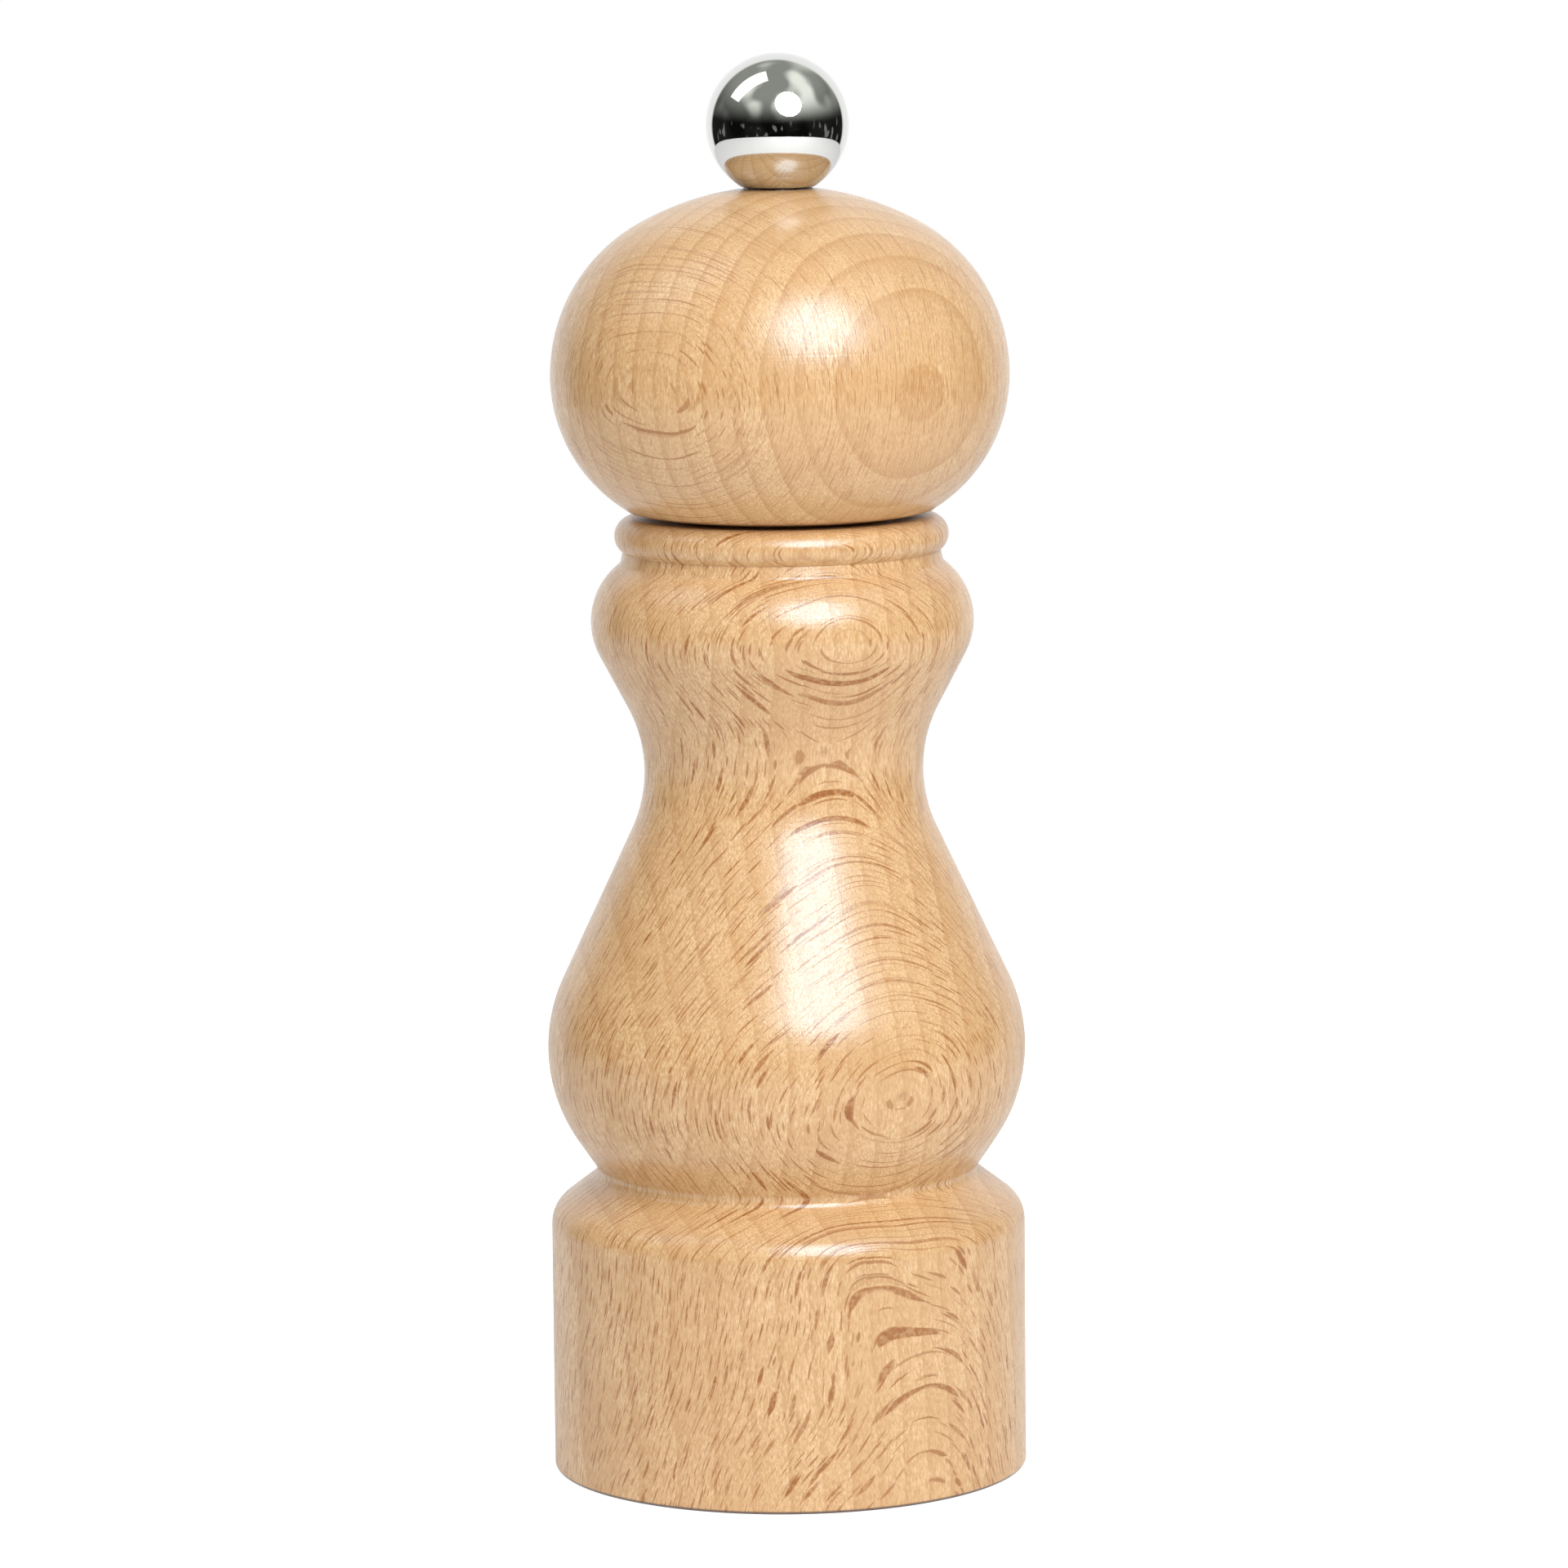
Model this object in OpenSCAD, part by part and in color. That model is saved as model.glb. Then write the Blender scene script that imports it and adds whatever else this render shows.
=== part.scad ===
// Turned wooden pepper mill with a ball knob and a steel burr mechanism.
// The origin is the centre of the foot, on the surface it stands on. +Z points up the shaft.
// All sizes are in millimetres.

/* [Base and body] */
// radius of the plain cylindrical base
base_r = 30.2; // [29:0.1:32]
// height at which the base starts to turn in to the groove
base_h = 33.5; // [32:0.1:34.5]
// radius at the bottom of the groove above the base
groove_r = 23.9; // [23.4:0.1:24.6]
// height of the groove above the base
groove_z = 38.3; // [37.6:0.1:39]
// radius that the lower bulge leans out to
belly_r = 33.4; // [32.6:0.1:34]
// height of the lower bulge
belly_z = 52.3; // [51:0.1:54]
// radius that the waist leans in to, before it is rounded
waist_r = 15.6; // [15:0.1:16.2]
// height of the waist
waist_z = 90.1; // [89:0.1:91]
// radius that the upper bulge leans out to
shoulder_r = 26.5; // [26:0.1:27]
// height of the upper bulge
shoulder_z = 110.8; // [110.4:0.1:111]
// radius at the bottom of the groove under the bead
neck_r = 20.4; // [20:0.1:20.6]
// height of the groove under the bead
neck_z = 116; // [115.8:0.1:116.2]
// outer radius of the bead at the top of the body
bead_out_r = 21.1; // [20.8:0.1:21.6]
// radius of the bead's round section
bead_r = 2.4; // [2.2:0.1:2.6]

/* [Head] */
// largest radius of the head
head_r = 28.9; // [28:0.1:30]
// height from the joint with the body to the head's widest line
head_waist_h = 17.8; // [17.4:0.1:18.2]
// height of the head above the joint
head_h = 41.4; // [41:0.1:42]
// radius of the rounding under the widest line
head_low_round = 19.8; // [19:0.1:20.4]
// radius of the rounding over the widest line
head_top_round = 21.7; // [21:0.1:22.2]
// radius of the tenon that turns in the body's socket
tenon_r = 12.9; // [12.5:0.1:12.9]
// length of the tenon
tenon_h = 8.6; // [7:0.1:9]

/* [Knob] */
// radius of the ball
ball_r = 9; // [8.6:0.1:9.4]
// height of the knob from its flat foot to the top of the ball
knob_h = 16.8; // [16.4:0.1:17]

/* [Bores] */
// radius of the hopper bore that holds the peppercorns
hopper_r = 12; // [11:0.1:12.3]
// radius of the socket for the head's tenon
socket_r = 13.2; // [13.2:0.1:14]
// depth of that socket
socket_h = 10; // [9.8:0.1:12]
// radius of the chamber round the grinding mechanism
chamber_r = 17.5; // [17.5:0.1:18]
// radius of the recess in the foot, where the ground pepper comes out
recess_r = 23; // [22.9:0.1:24]
// depth of that recess
recess_h = 8; // [8:0.1:8.4]

/* [Mechanism] */
// width across the flats of the square shaft
shaft_w = 5; // [4.8:0.05:5.1]
// outside radius of the thread at both ends of the shaft
thread_r = 2.5; // [2.4:0.05:2.5]
// outer radius of the outer burr
burr_r = 17.2; // [16.8:0.1:17.2]
// fine teeth on the outer burr
outer_teeth = 36; // [24:1:40]
// fine teeth on the inner burr
inner_teeth = 30; // [20:1:36]
// breaking teeth that draw the peppercorns down
breaking_teeth = 6; // [5:1:8]
// wire diameter of the spring
wire_d = 1.1; // [0.9:0.1:1.2]
// turns in the spring
spring_turns = 4.5; // [3.5:0.5:5.5]

/* [Hidden] */
$fn = 72;
// degrees between points on a rounded outline
arc_step = 3;
bead_z = 119.5;
// top face of the body
body_h = bead_z + bead_r;
// paper-thin gap under the head, so that it can turn
joint_gap = 0.2;
head_z = body_h + joint_gap;
widest_z = body_h + head_waist_h;
head_top = body_h + head_h;
tenon_z = head_z - tenon_h;
// the foot of the ball stands a hair above its washer
knob_z = head_top - 0.1;
ball_z = knob_z + knob_h - ball_r;
chamber_top = 42;
funnel_top = 48;
// steel base plate
plate_t = 1.2;
plate_z = recess_h - plate_t;
plate_r = 22.7;
plate_hole_r = 13.4;
screw_ring_r = 20;
// inner burr
rotor_z = plate_z + 0.6;
rotor_fine_h = 5.6;
rotor_h = 12.6;
rotor_low_r = 12;
// cone slope of the fine teeth, the same on both burrs
burr_slope = 0.375;
rotor_mid_r = rotor_low_r - burr_slope * rotor_fine_h;
// radial gap between the burrs at rest
grind_gap = 0.45;
// outer burr
ring_z = plate_z - 0.6;
ring_top = 21;
ring_mid_z = rotor_z + rotor_fine_h;
ring_mid_r = rotor_mid_r + grind_gap;
ring_low_r = ring_mid_r + burr_slope * (ring_mid_z - ring_z);
ring_top_r = 13.2;
post_top = 32;
bridge_t = 1.2;
bridge_w = 8;
// spring between its seat under the bridge and the washer on the inner burr
spring_low = rotor_z + rotor_h + 0.8;
spring_high = post_top - 1;
// shaft
shaft_low = 3.4;
shaft_high = head_top + 10.7;
shaft_corner_r = 3.3;
thread_low = head_top - 5.3;

// sub-part to draw

beech = [0.87, 0.72, 0.54];
zinc_plate = [0.74, 0.75, 0.76];
burr_steel = [0.34, 0.34, 0.36];
bright_steel = [0.68, 0.68, 0.7];
brass = [0.8, 0.66, 0.36];
nylon = [0.9, 0.9, 0.86];

function unit(v) = v / norm(v);

// points on an arc about [cx, cz], from angle a0 to a1
function arc(cx, cz, r, a0, a1) =
    let (n = max(2, ceil(abs(a1 - a0) / arc_step)))
    [for (i = [0:n]) let (a = a0 + (a1 - a0) * i / n) [cx + r * cos(a), cz + r * sin(a)]];

// the rounding of radius r that replaces corner p between its neighbours a and b
function corner(a, p, b, r) =
    let (u = unit(a - p),
         w = unit(b - p),
         half = acos(u * w) / 2,
         c = p + unit(u + w) * r / sin(half),
         s = p + u * r / tan(half) - c,
         e = p + w * r / tan(half) - c,
         a0 = atan2(s[1], s[0]),
         d = atan2(e[1], e[0]) - a0,
         sweep = d > 180 ? d - 360 : (d < -180 ? d + 360 : d))
    arc(c[0], c[1], r, a0, a0 + sweep);

// a chain of [r, z, rounding] corners as a smooth line; the two ends stay sharp
function rounded(pts) =
    let (last = len(pts) - 1)
    [for (i = [0:last])
        let (p = [pts[i][0], pts[i][1]])
        each (i == 0 || i == last || pts[i][2] == 0 ? [p]
            : corner([pts[i - 1][0], pts[i - 1][1]], p, [pts[i + 1][0], pts[i + 1][1]], pts[i][2]))];

// star of n teeth from radius r0 at the roots to r1 at the tips
function star(n, r0, r1, flat) =
    [for (i = [0:n - 1])
        each [for (k = [[0, r0], [0.5 - flat, r1], [0.5 + flat, r1]])
            let (a = 360 * (i + k[0]) / n) k[1] * [cos(a), sin(a)]]];

// thread-ended square bar with its corners turned down
module square_bar(w, corner_r, h) {
    intersection() {
        translate([-w / 2, -w / 2, 0])
            cube([w, w, h]);
        cylinder(r = corner_r, h = h);
    }
}

// flat ring
module ring(r_out, r_in, h) {
    difference() {
        cylinder(r = r_out, h = h);
        translate([0, 0, -1])
            cylinder(r = r_in, h = h + 2);
    }
}

// ring with a square hole that slides on the shaft
module square_hole_ring(r_out, w, h) {
    difference() {
        cylinder(r = r_out, h = h);
        translate([-w / 2, -w / 2, -1])
            cube([w, w, h + 2]);
    }
}

// screw with a low domed head below z = 0, its cross recess, and a pointed shank above
module wood_screw(head_r, head_h, shank_r, length) {
    difference() {
        rotate_extrude()
            polygon(concat(
                [[0, -head_h]],
                arc(head_r - head_h * 0.8, -head_h * 0.2, head_h * 0.8, -90, 0),
                [[head_r, 0], [shank_r, 0], [shank_r, length - 2.5 * shank_r], [0, length]]));
        for (turn = [0, 90])
            rotate([0, 0, turn])
                translate([-head_r * 0.55, -0.35, -head_h - 1])
                    cube([head_r * 1.1, 0.7, 1 + head_h * 0.55]);
    }
}

// turned beech body: cylinder base, groove, lower bulge, waist, upper bulge and bead
module body() {
    bead_x = bead_out_r - bead_r;
    bead_low = -55;
    outside = concat(
        rounded([
            [recess_r + 0.6, 0, 0],
            [base_r, 0, 0.6],
            [base_r, base_h, 4.1],
            [groove_r, groove_z, 1.3],
            [belly_r, belly_z, 20.5],
            [waist_r, waist_z, 17.6],
            [shoulder_r, shoulder_z, 9],
            [neck_r, neck_z, 0.8],
            [bead_x + bead_r * cos(bead_low), bead_z + bead_r * sin(bead_low), 0]]),
        [for (p = arc(bead_x, bead_z, bead_r, bead_low + arc_step, 90)) p]);
    inside = [
        [socket_r + 0.5, body_h],
        [socket_r, body_h - 0.5],
        [socket_r, body_h - socket_h],
        [hopper_r, body_h - socket_h],
        [hopper_r, funnel_top],
        [chamber_r, chamber_top],
        [chamber_r, recess_h],
        [recess_r, recess_h],
        [recess_r, 0.6]];
    color(beech)
        difference() {
            rotate_extrude()
                polygon(concat(outside, inside));
            for (turn = [90, 210, 330])
                rotate([0, 0, turn])
                    translate([screw_ring_r, 0, recess_h - 1])
                        cylinder(r = 1.4, h = 12.2);
        }
}

// plated steel disc that holds the mechanism in the foot
module base_plate() {
    color(zinc_plate)
        difference() {
            translate([0, 0, plate_z])
                rotate_extrude()
                    polygon([
                        [plate_hole_r + 0.1, 0],
                        [plate_r - 0.4, 0],
                        [plate_r, 0.4],
                        [plate_r, plate_t],
                        [plate_hole_r + 0.1, plate_t]]);
            for (turn = [90, 210, 330])
                rotate([0, 0, turn])
                    translate([screw_ring_r, 0, plate_z - 1])
                        cylinder(r = 1.6, h = plate_t + 2);
        }
}

module base_screws() {
    color(zinc_plate)
        for (turn = [90, 210, 330])
            rotate([0, 0, turn])
                translate([screw_ring_r, 0, plate_z])
                    wood_screw(2.7, 1.6, 1.35, 12.5);
}

// outer burr: a steel ring, toothed inside, its spigot swaged over the base plate, and
// two posts that carry the bridge
module outer_burr() {
    low_h = ring_mid_z - ring_z;
    top_h = ring_top - ring_mid_z;
    color(burr_steel)
        difference() {
            union() {
                rotate_extrude()
                    polygon([
                        [9, ring_z],
                        [plate_hole_r + 0.5, ring_z],
                        [plate_hole_r + 0.9, ring_z + 0.3],
                        [plate_hole_r + 0.9, plate_z],
                        [plate_hole_r, plate_z],
                        [plate_hole_r, recess_h],
                        [burr_r, recess_h],
                        [burr_r, ring_top],
                        [9, ring_top]]);
                intersection() {
                    translate([0, 0, ring_top - 1])
                        ring(burr_r, burr_r - 3.2, post_top - ring_top + 1);
                    translate([-20, -bridge_w / 2, 0])
                        cube([40, bridge_w, 60]);
                }
            }
            // fine teeth, on a cone that narrows upwards
            translate([0, 0, ring_z - 0.01])
                linear_extrude(height = low_h + 0.02, scale = ring_mid_r / ring_low_r, slices = 1)
                    polygon(star(outer_teeth, ring_low_r, ring_low_r + 0.7, 0.12));
            // mouth with breaking grooves, on a cone that widens upwards
            translate([0, 0, ring_mid_z - 0.02])
                linear_extrude(height = top_h + 0.04, scale = ring_top_r / ring_mid_r, slices = 1)
                    polygon(star(outer_teeth / 3, ring_mid_r, ring_mid_r + 1.2, 0.2));
            // rivet holes in the posts
            for (side = [-1, 1])
                translate([side * (burr_r - 1.6), 0, post_top - 8])
                    cylinder(r = 0.95, h = 10);
        }
}

// strap over the burrs that steadies the shaft
module bridge() {
    color(zinc_plate)
        translate([0, 0, post_top])
            difference() {
                intersection() {
                    cylinder(r = burr_r, h = bridge_t);
                    translate([-20, -bridge_w / 2, -1])
                        cube([40, bridge_w, 5]);
                }
                translate([0, 0, -1])
                    cylinder(r = shaft_corner_r + 0.1, h = 5);
                for (side = [-1, 1])
                    translate([side * (burr_r - 1.6), 0, -1])
                        cylinder(r = 0.95, h = 5);
            }
}

module bridge_rivets() {
    color(bright_steel)
        for (side = [-1, 1])
            translate([side * (burr_r - 1.6), 0, post_top + bridge_t])
                rotate_extrude()
                    polygon(concat(
                        [[0, -bridge_t - 7], [0.9, -bridge_t - 7], [0.9, 0], [1.5, 0]],
                        arc(0.7, 0, 0.8, 0, 90),
                        [[0, 0.8]]));
}

module spring_seat() {
    color(zinc_plate)
        translate([0, 0, spring_high])
            square_hole_ring(5.6, shaft_w + 0.2, 0.9);
}

// open coil spring: a round wire swept up a helix, its end turns drawn flat
module spring() {
    coil_r = 4.5;
    per_turn = 20;
    sides = 8;
    rings = spring_turns * per_turn;
    low = spring_low + wire_d / 2 + 0.02;
    high = spring_high - wire_d / 2 - 0.02;
    // share of the height reached at share t of the wire: level at both ends
    function rise(t) = t - sin(360 * t) / 360 * 50;
    pts = [for (i = [0:rings])
        let (t = i / rings,
             turn = 360 * spring_turns * t,
             z = low + (high - low) * rise(t))
        each [for (k = [0:sides - 1])
            let (a = 360 * k / sides,
                 r = coil_r + wire_d / 2 * cos(a))
            [r * cos(turn), r * sin(turn), z + wire_d / 2 * sin(a)]]];
    tube = [for (i = [0:rings - 1])
        each [for (k = [0:sides - 1])
            let (n = (k + 1) % sides)
            each [[i * sides + k, (i + 1) * sides + k, (i + 1) * sides + n],
                  [i * sides + k, (i + 1) * sides + n, i * sides + n]]]];
    first_end = [[for (k = [0:sides - 1]) k]];
    last_end = [[for (k = [sides - 1:-1:0]) rings * sides + k]];
    color(bright_steel)
        polyhedron(points = pts, faces = concat(tube, first_end, last_end), convexity = 10);
}

module spring_washer() {
    color(zinc_plate)
        translate([0, 0, spring_low - 0.8])
            square_hole_ring(5.6, shaft_w + 0.1, 0.8);
}

// square steel shaft with a thread for the knob on top and for the nut below
module shaft() {
    color(bright_steel)
        union() {
            translate([0, 0, rotor_z])
                square_bar(shaft_w, shaft_corner_r, thread_low - rotor_z);
            translate([0, 0, shaft_low])
                cylinder(r1 = thread_r - 0.4, r2 = thread_r, h = 0.4);
            translate([0, 0, shaft_low + 0.4])
                cylinder(r = thread_r, h = rotor_z - shaft_low - 0.4);
            translate([0, 0, thread_low])
                cylinder(r = thread_r, h = shaft_high - thread_low - 0.4);
            translate([0, 0, shaft_high - 0.4])
                cylinder(r1 = thread_r, r2 = thread_r - 0.4, h = 0.4);
        }
}

// inner burr: fine teeth on the wide foot, spiral breaking teeth above
module inner_burr() {
    break_h = rotor_h - rotor_fine_h;
    color(burr_steel)
        difference() {
            union() {
                translate([0, 0, rotor_z])
                    linear_extrude(height = rotor_fine_h, scale = rotor_mid_r / rotor_low_r,
                                   twist = -8, slices = 3)
                        polygon(star(inner_teeth, rotor_low_r - 0.7, rotor_low_r, 0.12));
                translate([0, 0, rotor_z + rotor_fine_h - 0.02])
                    linear_extrude(height = break_h + 0.02, scale = 0.62, twist = -55, slices = 9)
                        polygon(star(breaking_teeth, rotor_mid_r - 2.3, rotor_mid_r - 0.3, 0.1));
            }
            translate([-(shaft_w + 0.1) / 2, -(shaft_w + 0.1) / 2, rotor_z - 1])
                cube([shaft_w + 0.1, shaft_w + 0.1, rotor_h + 2]);
        }
}

module burr_washer() {
    color(zinc_plate)
        translate([0, 0, rotor_z - 0.8])
            ring(6, thread_r + 0.15, 0.8);
}

module burr_nut() {
    color(zinc_plate)
        translate([0, 0, rotor_z - 0.8 - 2.7])
            difference() {
                cylinder(r = 8 / 2 / cos(30), h = 2.7, $fn = 6);
                translate([0, 0, -1])
                    cylinder(r = thread_r + 0.05, h = 5);
            }
}

// turned beech head: rounded crown, widest line, and the tenon under it
module head() {
    side_x = head_r - head_top_round;
    low_x = head_r - head_low_round;
    rise = head_top - widest_z;
    crown_r = (side_x * side_x + rise * rise - head_top_round * head_top_round)
        / (2 * (rise - head_top_round));
    crown_z = head_top - crown_r;
    meet = atan2(widest_z - crown_z, side_x);
    edge = asin((widest_z - head_z - 0.5) / head_low_round);
    edge_x = low_x + head_low_round * cos(edge);
    recess = 4.4;
    recess_edge = acos(recess / crown_r);
    outside = concat(
        [[3.6, tenon_z], [tenon_r - 0.5, tenon_z], [tenon_r, tenon_z + 0.5], [tenon_r, head_z],
         [edge_x - 0.7, head_z], [edge_x - 0.25, head_z + 0.12]],
        arc(low_x, widest_z, head_low_round, -edge, 0),
        [for (p = arc(side_x, widest_z, head_top_round, arc_step, meet)) p],
        [for (p = arc(0, crown_z, crown_r, meet + arc_step, recess_edge)) p],
        [[recess, head_top - 0.9], [3.6, head_top - 0.9]]);
    color(beech)
        difference() {
            rotate_extrude()
                polygon(outside);
            for (side = [-1, 1])
                translate([side * 8.6, 0, tenon_z - 1])
                    cylinder(r = 1.15, h = 9.2);
        }
}

// steel disc whose square hole lets the head turn the shaft
module drive_plate() {
    color(zinc_plate)
        translate([0, 0, tenon_z - 1.2])
            difference() {
                square_hole_ring(11.8, shaft_w + 0.2, 1.2);
                for (side = [-1, 1])
                    translate([side * 8.6, 0, -1])
                        cylinder(r = 1.3, h = 4);
            }
}

module drive_plate_screws() {
    color(zinc_plate)
        for (side = [-1, 1])
            translate([side * 8.6, 0, tenon_z - 1.2])
                wood_screw(2.2, 1.2, 1.1, 9.2);
}

// thin washer let into the top of the head, under the ball
module knob_washer() {
    color(zinc_plate)
        translate([0, 0, head_top - 0.9])
            ring(4.2, 2.9, 0.7);
}

// bright ball with a flat foot, bored for its threaded insert
module knob() {
    foot = asin((ball_z - knob_z) / ball_r);
    color(bright_steel)
        rotate_extrude()
            polygon(concat(
                [[4, knob_z]],
                arc(0, ball_z, ball_r, -foot, 90),
                [[0, knob_z + 12.3], [2.6, knob_z + 11.6], [4, knob_z + 10.6]]));
}

module knob_insert() {
    color(brass)
        translate([0, 0, knob_z])
            ring(4, thread_r + 0.05, 9.3);
}

// ring that grips the thread, so that the grind stays as set
module knob_lock_ring() {
    color(nylon)
        translate([0, 0, knob_z + 9.3])
            ring(4, thread_r + 0.05, 1.3);
}

body();
base_plate();
base_screws();
outer_burr();
bridge();
bridge_rivets();
spring_seat();
spring();
spring_washer();
shaft();
inner_burr();
burr_washer();
burr_nut();
head();
drive_plate();
drive_plate_screws();
knob_washer();
knob();
knob_insert();
knob_lock_ring();
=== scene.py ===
# %% [markdown]
# # A turned pepper mill, piece by piece
#
# The mill is a beech body and a beech head that turn against each other, a bright ball on top
# and a steel burr mechanism inside. The measured solids come from CAD and are already in place.
# This script gives them their looks: it replaces the turned and threaded pieces with finer
# surfaces, gives every piece a procedural finish, and sets up a plain white studio.
# The mill's own sizes are written in millimetres and become Blender's metres in the helpers.
# +Z runs up the shaft, and the origin is the middle of the foot.

import math

import bpy
import numpy as np
from mathutils import Matrix


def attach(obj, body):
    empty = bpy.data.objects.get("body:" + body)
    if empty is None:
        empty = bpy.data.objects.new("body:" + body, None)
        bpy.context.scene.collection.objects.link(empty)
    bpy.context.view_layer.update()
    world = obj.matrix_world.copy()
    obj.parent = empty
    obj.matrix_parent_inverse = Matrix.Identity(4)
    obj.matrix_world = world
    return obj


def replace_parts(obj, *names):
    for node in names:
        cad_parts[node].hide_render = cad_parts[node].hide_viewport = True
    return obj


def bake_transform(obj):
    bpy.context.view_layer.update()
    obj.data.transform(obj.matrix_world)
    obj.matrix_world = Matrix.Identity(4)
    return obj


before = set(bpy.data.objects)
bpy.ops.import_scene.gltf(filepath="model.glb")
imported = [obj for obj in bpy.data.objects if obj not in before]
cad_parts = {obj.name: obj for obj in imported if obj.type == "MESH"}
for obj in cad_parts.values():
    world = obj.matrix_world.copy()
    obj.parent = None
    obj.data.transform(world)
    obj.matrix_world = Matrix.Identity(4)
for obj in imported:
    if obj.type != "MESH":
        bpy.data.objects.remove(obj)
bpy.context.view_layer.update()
MM = 0.001

# %% [markdown]
# ## Camera
#
# A small product is best shown from a metre away through a long lens, so that its sides stay
# nearly parallel. The camera stands a little higher than the ball and looks slightly down, which
# shows the top of the bead and the curve of the foot. It is turned by half a degree about its
# own line of sight, so the mill leans a hair to the left. The three directions of the camera
# are worked out first and become the columns of its rotation.

# %% Place the camera
camera_back, camera_up = 0.9469, 0.2219
sensor_width, lens, far_end = 36, 173.26, 50
look_down, tilt = math.radians(8.071), math.radians(0.586)
ahead = np.array([0, math.cos(look_down), -math.sin(look_down)])
upward = np.array([0, math.sin(look_down), math.cos(look_down)])
across = np.array([1.0, 0, 0])
right = math.cos(tilt) * across - math.sin(tilt) * upward
top = math.sin(tilt) * across + math.cos(tilt) * upward
camera = bpy.data.objects.new("camera", bpy.data.cameras.new("camera"))
camera.data.sensor_width = sensor_width
camera.data.lens = lens
camera.data.clip_end = far_end
turned = Matrix(np.column_stack([right, top, -ahead]).tolist())
camera.matrix_world = Matrix.Translation((0, -camera_back, camera_up)) @ turned.to_4x4()
bpy.context.scene.collection.objects.link(camera)
bpy.context.scene.camera = camera
print("camera", tuple(round(v, 3) for v in camera.location), "lens", camera.data.lens)

# %% [markdown]
# ## From a grid of numbers to a piece
#
# Every new piece below is a surface with two parameters: rows along one, columns along the
# other. numpy works out all the points at once, and this helper joins neighbours with quads. A
# grid that closes on itself shares its last row or column with its first, so there is no seam.
# A first or last row that shrinks to one point on the axis becomes a fan of triangles, so a
# pole is closed too. The signed volume says whether the faces point outwards, and if they
# don't, they are turned round.

# %% Measure a closed shape
def volume(points, faces):
    """Sum over triangles of the triple product of their corners, divided by six."""
    a, b, c = (points[faces[:, k]] for k in range(3))
    return float(np.einsum("ij,ij->", a, np.cross(b, c)) / 6)


tip = np.array([[0, 0, 0], [1, 0, 0], [0, 1, 0], [0, 0, 1.0]])
tip_sides = np.array([[0, 2, 1], [0, 1, 3], [0, 3, 2], [1, 2, 3]])
print("the tip cut off a cube holds", round(volume(tip, tip_sides), 4), "of it")


# %% Join a grid into a closed piece
def make_piece(name, grid, loop=False, poles=(False, False), crease=30):
    """Joins a grid of points, given as rows x columns x 3, into one closed mesh.

    Columns always close on themselves. Rows do too if loop is true; otherwise each end is a
    pole, a row that is a single point. Edges bent by more than crease degrees stay sharp."""
    rows, columns = grid.shape[:2]
    number = np.arange(rows * columns).reshape(rows, columns)
    for end, pole in zip((0, -1), poles):
        if pole:
            number[end] = number[end, 0]
    upper = number if loop else number[:-1]
    lower = np.roll(number, -1, axis=0) if loop else number[1:]
    quads = np.stack([upper, np.roll(upper, -1, axis=1), np.roll(lower, -1, axis=1), lower], -1)
    quads = quads.reshape(-1, 4)
    top_fan = quads[:, 0] == quads[:, 1]
    low_fan = quads[:, 2] == quads[:, 3]
    fans = np.concatenate([quads[top_fan][:, [0, 2, 3]], quads[low_fan][:, [0, 1, 2]]])
    quads = quads[~(top_fan | low_fan)]
    used, flat = np.unique(np.concatenate([quads.ravel(), fans.ravel()]), return_inverse=True)
    points = grid.reshape(-1, 3)[used]
    quads = flat[: quads.size].reshape(-1, 4)
    fans = flat[quads.size:].reshape(-1, 3)
    triangles = np.concatenate([quads[:, :3], quads[:, [0, 2, 3]], fans])
    if volume(points, triangles) < 0:
        quads, fans = quads[:, ::-1], fans[:, ::-1]
    mesh = bpy.data.meshes.new(name)
    mesh.from_pydata(points.tolist(), [], quads.tolist() + fans.tolist())
    mesh.polygons.foreach_set("use_smooth", np.ones(len(mesh.polygons), bool))
    mesh.set_sharp_from_angle(angle=math.radians(crease))
    mesh.validate()
    piece = bpy.data.objects.new(name, mesh)
    bpy.context.scene.collection.objects.link(piece)
    print(name, "-", len(points), "points,", len(triangles), "triangles,",
          round(abs(volume(points, triangles)) * 1e9), "cubic mm")
    return piece


# %% Outlines for turned pieces
def lathe(outline, columns=192):
    """Turns an outline of [radius, height] about the axis: x = r cos(t), y = r sin(t), z = h."""
    turn = np.linspace(0, 2 * np.pi, columns, endpoint=False)
    r, h = np.asarray(outline, float).T[:, :, None] * MM
    return np.stack([r * np.cos(turn), r * np.sin(turn), h + 0 * turn], -1)


def arc(cx, cz, r, a0, a1, step=2.5):
    """Points on a circle about (cx, cz) from angle a0 to a1, about step degrees apart."""
    turn = np.radians(np.linspace(a0, a1, max(3, int(abs(a1 - a0) / step) + 2)))
    return np.column_stack([cx + r * np.cos(turn), cz + r * np.sin(turn)])


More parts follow.
